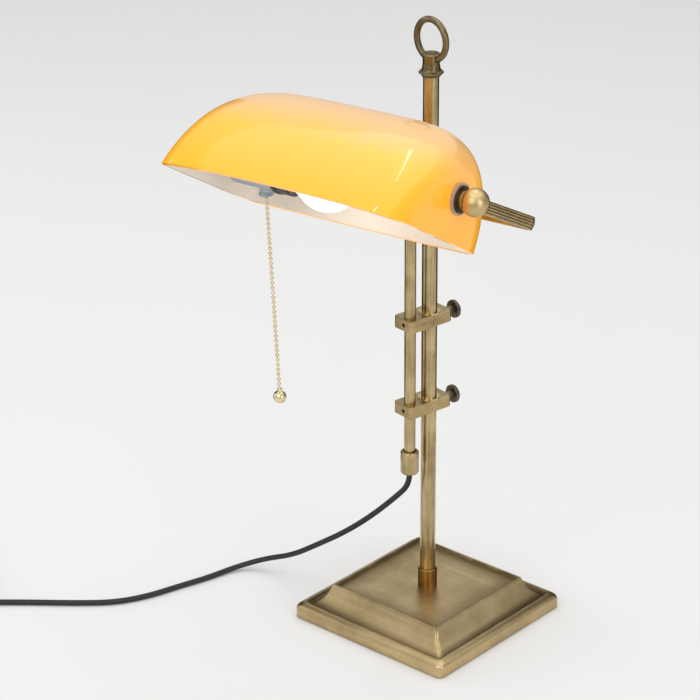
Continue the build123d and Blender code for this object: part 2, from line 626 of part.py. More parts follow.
def make_lampholder():
    """The lampholder's cap, body, skirt ring, insulator, thread shell and contact."""
    r, wall = HOLDER_R, HOLDER_WALL
    write("holder_cap", holder_place * about_x([
        (STUD_R, CAP_X), (9, CAP_X), (15, CAP_X + 1.5), (r - 0.6, CAP_X + 5), (r, CAP_X + 7), (r, BODY_X),
        (r - wall, BODY_X), (r - wall, CAP_X + 7.4), (14.4, CAP_X + 2.6), (8.6, CAP_X + wall),
        (STUD_R, CAP_X + wall)]))
    well = Pos(SWITCH_X, 0, 0) * rod_z(SWITCH_R - 1.0, -HOLDER_RING_R, 0)
    write("holder_body", holder_place * (rod_x(r, BODY_X, RING_X, r - wall) - well))
    spigot = r - wall - HOLDER_FIT
    grip, bead = HOLDER_RING_R, HOLDER_RING_R - 0.8
    write("holder_ring", holder_place * about_x([
        (spigot - 2.5, RING_X - 5), (spigot, RING_X - 5), (spigot, RING_X), (grip, RING_X), (grip, RING_X + 3),
        (bead, RING_X + 4), (bead, RING_END_X - 1), (bead - 1, RING_END_X), (spigot - 2.5, RING_END_X)]))
    write("holder_insulator", holder_place * rod_x(spigot, BODY_X + INSULATOR_GAP, INSULATOR_END_X))
    shell_end = RING_X - SHELL_BACK
    write("thread_shell", holder_place * rod_x(SHELL_R, INSULATOR_END_X, shell_end, SHELL_R - SHELL_WALL))
    write("centre_contact", holder_place * rod_x(4.0, INSULATOR_END_X, LAMP_X))

    low = -BELL_REACH
    bore = PLUNGER_R + RUN_FIT
    bell = turned([
        (SWITCH_R - 1.0, -r + 1.2), (SWITCH_R, -r + 1.2), (SWITCH_R, low + 3.4), (BELL_R - 0.7, low + 2.2),
        (BELL_R, low + 0.8), (BELL_R - 0.3, low), (BELL_R - 1.6, low), (2.6, low + 2.6), (bore, low + 2.6),
        (bore, low + 4), (SWITCH_R - 1.0, low + 5)])
    write("switch_bell", holder_place * (Pos(SWITCH_X, 0, 0) * bell - rod_x(r, BODY_X, RING_X)))


def make_lamp():
    """A pear-shaped lamp on a 27 mm screw cap."""
    r, wall = LAMP_CAP_R, LAMP_CAP_WALL
    cap_end = LAMP_X + LAMP_CAP_L
    write("lamp_cap", holder_place * about_x([
        (0, LAMP_X), (4.5, LAMP_X), (9.0, LAMP_X + 2.5), (r - 1, LAMP_X + 5), (r, LAMP_X + 7), (r, cap_end),
        (r - wall, cap_end), (r - wall, LAMP_X + 8), (0, LAMP_X + 4)]))
    start = cap_end - 3
    centre = LAMP_X + LAMP_L - LAMP_R
    neck = r - wall - 0.1
    with BuildPart() as bulb:
        with BuildSketch(Plane.XY):
            with BuildLine():
                Polyline((centre + LAMP_R, 0), (start, 0), (start, neck - 0.5))
                throat = Line((start, neck - 0.5), (start + 6, neck))
                dome = CenterArc((centre, 0), LAMP_R, 0, 122)
                Spline(throat @ 1, dome @ 1, tangents=(throat % 1, -(dome % 1)))
            make_face()
        revolve(axis=Axis.X)
    write("lamp_bulb", holder_place * bulb.part)


def bead_chain():
    """A string of beads on thin links, hanging down from the origin."""
    half = (BEAD_R**2 - LINK_R**2) ** 0.5
    bottom = -BEADS * BEAD_PITCH
    with BuildPart() as chain:
        with BuildSketch(Plane.XZ):
            with BuildLine():
                for i in range(BEADS):
                    z = -(i + 0.5) * BEAD_PITCH
                    Line((LINK_R, z + BEAD_PITCH / 2), (LINK_R, z + half))
                    ThreePointArc((LINK_R, z + half), (BEAD_R, z), (LINK_R, z - half))
                    Line((LINK_R, z - half), (LINK_R, z - BEAD_PITCH / 2))
                Polyline((LINK_R, bottom), (0, bottom), (0, 0), (LINK_R, 0))
            make_face()
        revolve(axis=Axis.Z)
    return chain.part


def make_pull_chain():
    """A plunger in the switch, and a bead chain that hangs from it and ends in a ball."""
    mouth = PLUNGER_RISE - BELL_REACH
    write("switch_plunger", holder_place * Pos(SWITCH_X, 0, 0) * rod_z(PLUNGER_R, mouth, mouth + PLUNGER_L))
    hang = holder_place * Pos(SWITCH_X, 0, mouth - CHAIN_GAP) * Rot(Y=-CHAIN_LEAN)
    write("pull_chain", hang * bead_chain())
    bottom = -BEADS * BEAD_PITCH
    ball_z = bottom - PULL_BALL_R + 0.4
    ball = Pos(0, 0, ball_z) * Sphere(PULL_BALL_R) + rod_z(2.2, ball_z, bottom + 2.6)
    ball -= rod_z(BEAD_R + RUN_FIT, bottom, bottom + 3)
    write("pull_ball", hang * ball)


# ---------------------------------------------------------------- cord
def across_y(y, z):
    """A plane square to Y, with its X along +X."""
    return Plane(origin=(PLUG_X, y, z), x_dir=(1, 0, 0), z_dir=(0, 1, 0))


def make_plug():
    """Strain relief, body and two pins, lying on the floor."""
    centre_z = PLUG_T / 2 + 0.1
    body_y = PLUG_Y + PLUG_RELIEF_L
    face_y = body_y + PLUG_L
    write("plug_relief", loft([across_y(PLUG_Y, TAIL_ROUTE[-1][2]) * Circle(CORD_R + 0.8),
                               across_y(body_y, centre_z) * Circle(CORD_R + 2.2)]))
    nose = RectangleRounded(PLUG_W - 12, PLUG_T - 2, 4.0)
    full = RectangleRounded(PLUG_W, PLUG_T, 6.0)
    write("plug_body", loft([across_y(body_y, centre_z) * nose, across_y(body_y + 12, centre_z) * full,
                             across_y(face_y, centre_z) * full], ruled=True))
    pins = [Pos(PLUG_X + side * PIN_SPACING / 2, 0, centre_z) * rod_y(PIN_R, face_y, face_y + PIN_L)
            for side in (-1, 1)]
    write("plug_pins", *[chamfer(pin.edges().group_by(Axis.Y)[-1], 0.6) for pin in pins])


def make_cord():
    """The lead, the coil of put-away cord with its tie, the tail and the plug."""
    write("cord_lead", tube_along(LEAD_ROUTE, CORD_R, "cord_lead"))
    write("cord_tail", tube_along(TAIL_ROUTE, CORD_R, "cord_tail"))
    inner, outer = COIL_MID_R - COIL_BUNDLE_W / 2, COIL_MID_R + COIL_BUNDLE_W / 2
    coil = rod_z(outer, COIL_LIFT, COIL_LIFT + COIL_BUNDLE_H, inner)
    coil = fillet(coil.edges().filter_by(GeomType.CIRCLE), COIL_EDGE_R)
    write("cord_coil", Pos(*COIL_CENTRE, 0) * coil)
    gap_w = COIL_BUNDLE_W + 2 * TIE_GAP
    tie = Box(gap_w + 2 * TIE_T, TIE_W, COIL_BUNDLE_H + 2 * TIE_T) - Box(gap_w, TIE_W, COIL_BUNDLE_H)
    tie = Pos(COIL_MID_R, 0, COIL_LIFT + COIL_BUNDLE_H / 2) * tie
    write("coil_tie", Pos(*COIL_CENTRE, 0) * Rot(Z=TIE_ANGLE) * tie)


panel = make_base()
make_post(panel)
write("clamp_grub_screws", *[make_block(name, top) for name, top in BLOCK_TOPS.items()])
make_knuckle(make_rod())
make_yoke()
make_shade()
make_shade_hardware()
make_bracket()
make_lampholder()
make_lamp()
make_pull_chain()
make_cord()
make_plug()
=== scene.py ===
# %% [markdown]
# # A banker desk lamp, one finish at a time
#
# The lamp's structure is already modelled: posts, blocks, screws and joints come in as a fixed
# frame of named nodes. This notebook gives them their finishes, and models again the pieces that
# a plain solid can't show well: the glass shade, the moulded base, the mains lead and its plug.

# %% Load the frame
import json
from math import atan2, cos, pi, radians, sin

import bpy
from mathutils import Matrix, Vector


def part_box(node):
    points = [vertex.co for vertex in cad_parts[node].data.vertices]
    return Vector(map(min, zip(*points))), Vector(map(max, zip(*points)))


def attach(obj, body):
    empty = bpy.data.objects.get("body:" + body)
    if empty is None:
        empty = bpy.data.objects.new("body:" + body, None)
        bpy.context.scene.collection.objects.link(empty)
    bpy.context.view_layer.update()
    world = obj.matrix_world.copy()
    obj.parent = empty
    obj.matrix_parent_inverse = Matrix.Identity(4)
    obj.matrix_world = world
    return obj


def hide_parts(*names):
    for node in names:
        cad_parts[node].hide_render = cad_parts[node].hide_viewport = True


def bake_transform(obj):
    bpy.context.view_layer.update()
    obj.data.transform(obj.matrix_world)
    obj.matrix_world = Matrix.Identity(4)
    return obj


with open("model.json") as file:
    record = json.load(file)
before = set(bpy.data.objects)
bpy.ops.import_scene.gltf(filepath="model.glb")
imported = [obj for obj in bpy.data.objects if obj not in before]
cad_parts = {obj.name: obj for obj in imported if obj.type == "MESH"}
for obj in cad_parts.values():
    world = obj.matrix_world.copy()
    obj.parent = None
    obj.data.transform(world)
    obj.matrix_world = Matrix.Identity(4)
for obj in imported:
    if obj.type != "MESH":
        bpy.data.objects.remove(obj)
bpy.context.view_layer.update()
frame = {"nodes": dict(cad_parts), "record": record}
MM = 0.001

# %% [markdown]
# ## The camera
# A table lamp is shown best from a little above and to one side, with a long lens so that the
# post stays upright. The view is set by a target, two angles and a distance, because those can be
# read off and changed one at a time. A very small roll levels the view.

# %% Camera
VIEW_TARGET = Vector((-53.7, -42.1, 256.2)) * MM
VIEW_AZIMUTH = radians(41.31)
VIEW_ELEVATION = radians(23.94)
VIEW_DISTANCE = 2.2587
VIEW_LENS = 134.65
VIEW_ROLL = radians(-0.35)

forward = Vector((-sin(VIEW_AZIMUTH) * cos(VIEW_ELEVATION),
                  cos(VIEW_AZIMUTH) * cos(VIEW_ELEVATION),
                  -sin(VIEW_ELEVATION)))
bpy.ops.object.camera_add()
camera = bpy.context.object
camera.name = "camera"
camera.data.lens = VIEW_LENS
camera.data.sensor_width = 36
turn = forward.to_track_quat("-Z", "Y").to_matrix().to_4x4() @ Matrix.Rotation(VIEW_ROLL, 4, "Z")
camera.matrix_world = Matrix.Translation(VIEW_TARGET - forward * VIEW_DISTANCE) @ turn
bpy.context.scene.camera = camera
print("camera at", [round(x, 3) for x in camera.matrix_world.translation])

# %% [markdown]
# ## Floor and light
# The lamp stands on seamless pale paper. Brass is a mirror of what is round it, so the light is
# a few very large soft panels. Two dark boards beside the lamp, which only reflections see, draw
# the dark edges of the tubes, and two narrow strips overhead draw thin streaks on the glass.

# %% Small helpers for objects
def only(piece):
    """Make this the one selected object."""
    bpy.ops.object.select_all(action="DESELECT")
    piece.select_set(True)
    bpy.context.view_layer.objects.active = piece


def linear(hex_colour):
    """An sRGB hex colour such as "B89C6A" as the linear RGBA that a shader takes."""
    channels = [int(hex_colour[i:i + 2], 16) / 255 for i in (0, 2, 4)]
    return tuple(c / 12.92 if c <= 0.04045 else ((c + 0.055) / 1.055) ** 2.4 for c in channels) + (1.0,)


def add_node(material, kind, inputs=(), **settings):
    """Add a node to a material: its settings by name, and each input from a value or a socket."""
    tree = material.node_tree
    made = tree.nodes.new(kind)
    for name, value in settings.items():
        setattr(made, name, value)
    for name, value in dict(inputs).items():
        if isinstance(value, bpy.types.NodeSocket):
            tree.links.new(value, made.inputs[name])
        else:
            made.inputs[name].default_value = value
    return made


def new_material(name):
    material = bpy.data.materials.new(name)
    material.use_nodes = True
    material.node_tree.nodes.clear()
    return material


def finish_material(material, shader):
    add_node(material, "ShaderNodeOutputMaterial", {"Surface": shader.outputs[0]})
    return material


# %% Floor
def seamless_paper():
    """Matt studio paper: no pattern at this distance, only the faintest unevenness."""
    material = new_material("seamless_paper")
    place = add_node(material, "ShaderNodeTexCoord").outputs["Object"]
    cloud = add_node(material, "ShaderNodeTexNoise", {"Vector": place, "Scale": 2.0})
    tone = add_node(material, "ShaderNodeMix", {"Factor": cloud.outputs["Fac"], "A": linear("E9E9E8"),
                                                "B": linear("E6E6E6")}, data_type="RGBA")
    shader = add_node(material, "ShaderNodeBsdfPrincipled", {"Base Color": tone.outputs["Result"],
                                                             "Roughness": 0.9, "Specular IOR Level": 0.1})
    return finish_material(material, shader)


bpy.ops.mesh.primitive_plane_add(size=16, location=(0, 0, 0))
floor = bpy.context.object
floor.name = "floor"
floor.data.materials.append(seamless_paper())

# %% Light
def soft_panel(name, place, target, size, power):
    """A large rectangular soft box, turned to face the target."""
    bpy.ops.object.light_add(type="AREA", location=place)
    panel = bpy.context.object
    panel.name = name
    panel.data.shape = "RECTANGLE"
    panel.data.size, panel.data.size_y = size
    panel.data.energy = power
    panel.rotation_euler = (Vector(target) - Vector(place)).to_track_quat("-Z", "Y").to_euler()
    return panel


LAMP_MIDDLE = (0, -0.06, 0.3)
soft_panel("overhead_panel", (0.0, 0.3, 2.8), LAMP_MIDDLE, (4.0, 4.0), 43)
soft_panel("key_panel", (0.5, -2.6, 2.0), LAMP_MIDDLE, (2.6, 2.2), 24)
soft_panel("left_panel", (-2.2, -0.9, 0.9), LAMP_MIDDLE, (1.2, 1.6), 10)
soft_panel("right_panel", (2.1, -0.5, 1.0), LAMP_MIDDLE, (1.0, 1.6), 8)


def overhead_strip(name, start, end, power, width=0.07):
    """A narrow light from start to end that faces straight down."""
    start, end = Vector(start), Vector(end)
    middle = (start + end) / 2
    strip = soft_panel(name, middle, middle - Vector((0, 0, 1)), (width, (end - start).length), power)
    strip.rotation_euler = (0, 0, atan2(start.x - end.x, end.y - start.y))


overhead_strip("rear_strip", (-0.74, 1.14, 2.1), (0.0, 0.15, 2.1), 1.5)
overhead_strip("front_strip", (0.02, -0.60, 2.1), (-0.02, -0.86, 2.1), 0.7)


def dark_flag(name, angle, distance=0.42, width=0.40, height=0.62):
    """A black board beside the lamp that only reflections see: it draws the dark edges of a tube."""
    around = VIEW_AZIMUTH + radians(angle)
    bpy.ops.mesh.primitive_plane_add(size=1, location=(distance * sin(around), -distance * cos(around), height / 2),
                                     rotation=(pi / 2, 0, around))
    flag = bpy.context.object
    flag.name = name
    flag.scale = (width, height, 1)
    bpy.ops.object.transform_apply(location=True, rotation=True, scale=True)
    material = new_material("flag_cloth")
    finish_material(material, add_node(material, "ShaderNodeBsdfDiffuse", {"Color": linear("241F19")}))
    flag.data.materials.append(material)
    flag.visible_camera = flag.visible_diffuse = flag.visible_shadow = flag.visible_transmission = False


dark_flag("left_flag", -128)
dark_flag("right_flag", 132)

world = bpy.data.worlds.new("studio")
bpy.context.scene.world = world
world.use_nodes = True
world.node_tree.nodes["Background"].inputs["Color"].default_value = linear("F2F2F2")
world.node_tree.nodes["Background"].inputs["Strength"].default_value = 0.62
bpy.context.scene.view_settings.view_transform = "Standard"

# %% [markdown]
# ## The mains lead
# A lead is one fixed length of round cable that hangs from the rod's lower cap, falls to the
# table and runs off to a coil. It is drawn as a spline whose control points are the route, which
# makes an even bend at every corner. The coil's turns are more points of the same spline: a
# spiral inwards on the floor and one outwards on top of it. The first 5 cm are a piece of their
# own: on the lamp they turn with the rod, while the rest only rises and falls with the clamp blocks.

# %% The lead's route
CORD_D = 5.0 * MM
LEAD_ROUTE = [
    (-3.6, -21.3, 146.5), (-3.6, -21.3, 135.0), (-18.0, -22.5, 118.5), (-44.5, -24.9, 91.5),
    (-74.0, -27.4, 66.0), (-104.5, -30.1, 44.0), (-134.1, -32.7, 23.5), (-164.0, -36.0, 11.0),
    (-184.0, -56.0, 3.2), (-190.0, -86.0, 2.6), (-199.5, -117.0, 2.6), (-207.5, -147.0, 2.6),
    (-222.0, -175.0, 2.6), (-248.0, -199.0, 2.6), (-282.0, -226.0, 2.6), (-311.0, -251.5, 2.8),
    (-336.0, -274.6, 3.2),
]
TAIL_ROUTE = [
    (-366.3, -284.7, 8.2), (-383.0, -286.0, 6.8), (-401.0, -281.0, 3.9), (-413.0, -265.5, 3.2),
    (-416.0, -242.0, 3.6),
]
lead = [Vector(p) * MM for p in LEAD_ROUTE]
tail = [Vector(p) * MM for p in TAIL_ROUTE]

COIL_CENTRE = Vector((-363.3, -250.0, 0.0)) * MM
COIL_OUTER, COIL_INNER = 36.7 * MM, 17.9 * MM    # centreline radii
LAYER_Z = (3.2 * MM, 8.2 * MM)                   # centreline heights of the two layers
POINTS_A_TURN = 14


def coil_points(first, last):
    """Clockwise turns: a spiral inwards on the floor, then one outwards on top of it."""
    start, end = first - COIL_CENTRE, last - COIL_CENTRE
    start_angle, end_angle = atan2(start.y, start.x), atan2(end.y, end.x)
    end_radius = end.xy.length
    inward = (COIL_OUTER - COIL_INNER) / CORD_D
    outward = (end_radius - COIL_INNER) / CORD_D
    part = ((start_angle - end_angle) / (2 * pi)) % 1
    turns = round(inward + outward - part) + part
    steps = round(turns * POINTS_A_TURN)
    points = []
    for i in range(1, steps):
        done = i / steps * (inward + outward)
        angle = start_angle - 2 * pi * turns * i / steps
        radius = COIL_OUTER - CORD_D * done if done < inward else COIL_INNER + CORD_D * (done - inward)
        climb = min(max((done - inward) / 0.25 + 0.5, 0), 1)
        height = LAYER_Z[0] + (LAYER_Z[1] - LAYER_Z[0]) * climb
        points.append(COIL_CENTRE + Vector((radius * cos(angle), radius * sin(angle), height)))
    print(f"coil: {turns:.2f} turns, {len(points)} points")
    return points


join = (lead[2] + lead[3]) / 2                   # a spline of this kind passes through a run's middle
top_route = lead[:3] + [join]
main_route = [join] + lead[3:] + coil_points(lead[-1], tail[0]) + tail


# %% Splines and tubes along them
def route_curve(name, points):
    """A smooth open curve with the route's points as its control points."""
    data = bpy.data.curves.new(name, "CURVE")
    data.dimensions = "3D"
    data.resolution_u = 10
    spline = data.splines.new("NURBS")
    spline.points.add(len(points) - 1)
    for control, point in zip(spline.points, points):
        control.co = (*point, 1.0)
    spline.order_u = 3
    spline.use_endpoint_u = True
    curve = bpy.data.objects.new(name, data)
    bpy.context.scene.collection.objects.link(curve)
    return curve


def line_along(curve):
    """The points that the curve passes through, and their length."""
    mesh = bpy.data.meshes.new_from_object(curve)
    points = [v.co.copy() for v in mesh.vertices]
    bpy.data.meshes.remove(mesh)
    return points, sum((b - a).length for a, b in zip(points, points[1:]))


def round_cord(name, points):
    """A mesh tube of the cord's diameter along the route, and the line that it follows."""
    curve = route_curve(name, points)
    path, length = line_along(curve)
    curve.data.bevel_depth = CORD_D / 2
    curve.data.bevel_resolution = 4
    curve.data.use_fill_caps = True
    only(curve)
    bpy.ops.object.convert(target="MESH")
    tube = bpy.context.object
    bpy.ops.object.shade_smooth()
    print(f"{name}: {length:.3f} m")
    return tube, path, length


cord_top, top_path, top_length = round_cord("cord_top", top_route)
mains_cord, main_path, main_length = round_cord("mains_cord", main_route)

# %% [markdown]
# The lead is soft black rubber: nearly black, faintly dusty, and matt. Its moulding leaves a very
# fine grain, which only shows as a broken highlight.

# %% Rubber
def black_rubber(name, grain_mm=0.8):
    """Matt PVC or rubber sheath: dark grey with a fine grain, drawn coarser than real to show."""
    material = new_material(name)
    place = add_node(material, "ShaderNodeTexCoord").outputs["Object"]
    grain = add_node(material, "ShaderNodeTexNoise", {"Vector": place, "Scale": 1 / (grain_mm * MM), "Detail": 4.0})
    dust = add_node(material, "ShaderNodeTexNoise", {"Vector": place, "Scale": 1 / (25 * MM), "Detail": 3.0})
    tone = add_node(material, "ShaderNodeMix", {"Factor": dust.outputs["Fac"], "A": linear("17181A"),
                                                "B": linear("27282A")}, data_type="RGBA")
    rough = add_node(material, "ShaderNodeMapRange", {"Value": grain.outputs["Fac"], "To Min": 0.42, "To Max": 0.62})
    bump = add_node(material, "ShaderNodeBump", {"Height": grain.outputs["Fac"], "Strength": 0.15,
                                                 "Distance": 0.1 * MM})
    shader = add_node(material, "ShaderNodeBsdfPrincipled", {
        "Base Color": tone.outputs["Result"], "Roughness": rough.outputs["Result"], "Normal": bump.outputs["Normal"],
        "IOR": 1.5})
    return finish_material(material, shader)


rubber = black_rubber("rubber_sheath")
for tube in (cord_top, mains_cord):
    tube.data.materials.clear()
    tube.data.materials.append(rubber)

# %% [markdown]
# ## The plug
# A small two-pole plug is moulded straight on to the lead. Like most mouldings it is one outline
# pulled through several sizes, so it is made by extruding a face and resizing it at each station.
# Its strain relief is a taper of rings, which bend more easily than a solid cone.

# %% Pull an outline through stations
def pulled_outline(name, stations, corner=None):
    """Extrude one face upwards through stations of (z, half width, half depth).

    With a corner radius the outline is a rounded rectangle, and without one it is round."""
    z, half_x, half_y = stations[0]
    if corner is None:
        bpy.ops.mesh.primitive_circle_add(vertices=48, radius=half_x, fill_type="NGON", location=(0, 0, z))
    else:
        bpy.ops.mesh.primitive_plane_add(size=2, location=(0, 0, z))
        bpy.context.object.scale = (half_x, half_y, 1)
        bpy.ops.object.transform_apply(location=False, rotation=False, scale=True)
    piece = bpy.context.object
    piece.name = name
    bpy.ops.object.mode_set(mode="EDIT")
    bpy.ops.mesh.select_all(action="SELECT")
    if corner is not None:
        bpy.ops.mesh.bevel(offset=corner, segments=8, affect="VERTICES")
        bpy.ops.mesh.select_all(action="SELECT")
    for new_z, new_x, new_y in stations[1:]:
        bpy.ops.mesh.extrude_region_move(TRANSFORM_OT_translate={"value": (0, 0, new_z - z)})
        bpy.ops.transform.resize(value=(new_x / half_x, new_y / half_y, 1))
        z, half_x, half_y = new_z, new_x, new_y
    bpy.ops.mesh.select_all(action="SELECT")
    bpy.ops.mesh.normals_make_consistent(inside=False)
    bpy.ops.object.mode_set(mode="OBJECT")
    bpy.ops.object.transform_apply(location=True, rotation=True, scale=True)
    return piece


def apply_modifier(piece, kind, **settings):
    """Add a modifier with its settings and apply it."""
    only(piece)
    modifier = piece.modifiers.new(kind.lower(), kind)
    for name, value in settings.items():
        setattr(modifier, name, value)
    bpy.ops.object.modifier_apply(modifier=modifier.name)


def smooth(piece, angle=35):
    only(piece)
    bpy.ops.object.shade_smooth_by_angle(angle=radians(angle))


# %% Plug and strain relief
body_low, body_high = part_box("plug_body")
relief_low, relief_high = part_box("plug_relief")
plug_x = (body_low.x + body_high.x) / 2
plug_z = (body_low.z + body_high.z) / 2
plug_half = (body_high - body_low) / 2
plug_length = body_high.y - body_low.y
back_up = Matrix.Rotation(-pi / 2, 4, "X")       # lays an upright piece down along +Y

waist = (plug_half.x * 0.62, plug_half.z * 0.80)
plug_body = pulled_outline("plug_body_moulding", [
    (0.0, plug_half.x * 0.46, plug_half.z * 0.78), (0.06 * plug_length, plug_half.x * 0.54, plug_half.z * 0.84),
    (0.24 * plug_length, *waist), (0.34 * plug_length, plug_half.x * 0.86, plug_half.z * 0.93),
    (0.42 * plug_length, plug_half.x * 0.97, plug_half.z), (0.50 * plug_length, plug_half.x, plug_half.z),
    (0.985 * plug_length, plug_half.x, plug_half.z), (plug_length, plug_half.x * 0.97, plug_half.z * 0.95)],
    corner=4.5 * MM)
plug_body.data.transform(Matrix.Translation((plug_x, body_low.y, plug_z)) @ back_up)
apply_modifier(plug_body, "BEVEL", width=0.5 * MM, segments=2, limit_method="ANGLE", angle_limit=radians(30))
smooth(plug_body, 40)

relief_length = relief_high.y - relief_low.y
RELIEF_RINGS = 5
relief_stations = []
for i in range(RELIEF_RINGS):
    share = i / RELIEF_RINGS
    step = relief_length / RELIEF_RINGS
    radius = (3.1 + 1.5 * share) * MM
    relief_stations += [(i * step, radius, radius), (i * step + 0.62 * step, radius + 0.2 * MM, radius + 0.2 * MM),
                        (i * step + 0.68 * step, radius - 0.6 * MM, radius - 0.6 * MM),
                        (i * step + 0.94 * step, radius - 0.5 * MM, radius - 0.5 * MM)]
relief_stations.append((relief_length, 4.6 * MM, 4.6 * MM))
plug_relief = pulled_outline("plug_relief_moulding", relief_stations)
relief_rise = plug_z - tail[-1].z                # the relief climbs from the floor to the plug's middle
for vertex in plug_relief.data.vertices:
    vertex.co.y -= relief_rise * vertex.co.z / relief_length
plug_relief.data.transform(Matrix.Translation((plug_x, relief_low.y, tail[-1].z)) @ back_up)
smooth(plug_relief, 40)

plug_plastic = black_rubber("plug_moulding", grain_mm=1.2)
for piece, node in ((plug_body, "plug_body"), (plug_relief, "plug_relief")):
    piece.data.materials.append(plug_plastic)
    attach(piece, "base")
    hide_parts(node)
print("plug:", round(plug_length / MM), "mm long")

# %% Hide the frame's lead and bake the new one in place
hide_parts("cord_lead", "cord_coil", "cord_tail")
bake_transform(mains_cord)
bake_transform(cord_top)
print(f"whole lead: {top_length + main_length:.3f} m")

# %% [markdown]
# ## The shade
# The real shade is blown glass, amber outside and cased inside with white opal. Its outline is a
# rounded rectangle at the rim that turns into an ellipse at the crown, and the crown leans back.
# A sphere has the right topology: each of its points is moved to the same place on that form.
# Solidify then gives the glass its wall, with the inside in its own material.

# %% Shade form
SHADE_L, SHADE_W, SHADE_H = 231.0 * MM, 151.5 * MM, 89.7 * MM
SHADE_WALL = 3.5 * MM
SHADE_TILT = radians(30.5)
HEAD_YAW = radians(6.6)
PIVOT_ABOVE_RIM = 34.5 * MM
RIM_FORWARD = 10.3 * MM
CROWN_LEAN = 22.3 * MM
END_POWER, SIDE_POWER = 4.8, 1.75
RIM_POWER, CROWN_POWER = 8.0, 2.2
STUD_HOLE_R = 5.6 * MM
RIM_ARCH = 2.6 * MM                              # how far the front rim rises at its middle

left_low, left_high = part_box("left_ball_knob")
right_low, right_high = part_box("right_ball_knob")
head_centre = (left_low + left_high + right_low + right_high) / 4
shade_place = (Matrix.Translation(head_centre) @ Matrix.Rotation(HEAD_YAW, 4, "Z")
               @ Matrix.Rotation(-SHADE_TILT, 4, "X"))


def shade_point(unit):
    """Where a point of the unit half sphere goes on the shade."""
    height = min(max(unit.z, 0.0), 1.0) ** (2 / SIDE_POWER)
    half_l = SHADE_L / 2 * (1 - height**END_POWER) ** (1 / END_POWER)
    half_w = SHADE_W / 2 * (1 - height**SIDE_POWER) ** (1 / SIDE_POWER)
    power = RIM_POWER + (CROWN_POWER - RIM_POWER) * height
    angle = atan2(half_w * unit.y, half_l * unit.x) if height < 1 else 0.0
    if half_w < 1e-6:
        return Vector((0, CROWN_LEAN - RIM_FORWARD, SHADE_H - PIVOT_ABOVE_RIM))
    reach = (abs(cos(angle) / half_l) ** power + abs(sin(angle) / half_w) ** power) ** (-1 / power)
    x, y = reach * cos(angle), reach * sin(angle)
    arch = RIM_ARCH * (1 - (x / half_l) ** 2) * max(0.0, -y / half_w) * (1 - height) ** 2
    return Vector((x, y + CROWN_LEAN * height - RIM_FORWARD, height * SHADE_H - PIVOT_ABOVE_RIM + arch))


bpy.ops.mesh.primitive_uv_sphere_add(segments=224, ring_count=128, radius=1)
shade = bpy.context.object
shade.name = "shade_blown_glass"
bpy.ops.object.mode_set(mode="EDIT")
bpy.ops.mesh.select_all(action="SELECT")
bpy.ops.mesh.bisect(plane_co=(0, 0, 0), plane_no=(0, 0, -1), clear_outer=True)
bpy.ops.object.mode_set(mode="OBJECT")
for vertex in shade.data.vertices:
    vertex.co = shade_point(vertex.co)
only(shade)
bpy.ops.object.mode_set(mode="EDIT")
bpy.ops.mesh.select_all(action="SELECT")
bpy.ops.mesh.remove_doubles(threshold=0.02 * MM)
bpy.ops.mesh.normals_make_consistent(inside=False)
bpy.ops.object.mode_set(mode="OBJECT")
print("shade sheet:", len(shade.data.polygons), "faces")


# %% [markdown]
# The amber comes from a thin coloured layer over milk-white glass. Seen from outside it is a deep
# honey yellow, painted paler towards the crown as a painted reflection of the overhead light, under
# a clear gloss, with a faint painted glow for the lamp's light coming through. The opal side is
# slightly warm white with a faint even painted glow, and the lamp lights it brightest where it is close.

# %% Glass
def amber_glass():
    """Amber casing over opal: honey yellow, uneven by a hand's width, painted paler towards the crown as a painted
    reflection, with a faint painted glow and a hard clear gloss.
    """
    material = new_material("amber_cased_glass")
    place = add_node(material, "ShaderNodeTexCoord").outputs["Object"]
    upwards = shade_place.to_3x3() @ Vector((0, 0, 1))
    height = add_node(material, "ShaderNodeVectorMath", {0: place, 1: upwards}, operation="DOT_PRODUCT")
    rim_height = head_centre.dot(upwards) - PIVOT_ABOVE_RIM
    painted_crown_reflection = add_node(material, "ShaderNodeMapRange", {"Value": height.outputs["Value"], "From Min": rim_height,
                                                     "From Max": rim_height + SHADE_H})
    cloud = add_node(material, "ShaderNodeTexNoise", {"Vector": place, "Scale": 1 / (90 * MM), "Detail": 2.0})
    mixed = add_node(material, "ShaderNodeMath", {0: cloud.outputs["Fac"], 1: 0.30}, operation="MULTIPLY")
    share = add_node(material, "ShaderNodeMath", {0: painted_crown_reflection.outputs["Result"], 1: mixed.outputs["Value"]},
                     operation="ADD")
    tone = add_node(material, "ShaderNodeValToRGB", {"Fac": share.outputs["Value"]})
    ramp = tone.color_ramp
    # Painted reflection: deep amber at the rim turning pale at the crown, for the overhead light mirrored in the
    # glass.
    ramp.elements[0].position, ramp.elements[0].color = 0.20, linear("FFAE0E")
    ramp.elements[1].position, ramp.elements[1].color = 1.0, linear("E6B678")
    middle = ramp.elements.new(0.70)
    middle.color = linear("FFB534")
    ripple = add_node(material, "ShaderNodeTexNoise", {"Vector": place, "Scale": 1 / (35 * MM), "Detail": 1.0})
    bump = add_node(material, "ShaderNodeBump", {"Height": ripple.outputs["Fac"], "Strength": 0.12,
                                                 "Distance": 0.6 * MM})
    shader = add_node(material, "ShaderNodeBsdfPrincipled", {
        "Base Color": tone.outputs["Color"], "Roughness": 0.34, "IOR": 1.5, "Normal": bump.outputs["Normal"],
        "Specular IOR Level": 0.3, "Coat Weight": 0.8, "Coat Roughness": 0.05,
        # Painted glow: emission in the glass's own tone, for the lamp's light coming through.
        "Emission Color": tone.outputs["Color"], "Emission Strength": 0.24})
    return finish_material(material, shader)


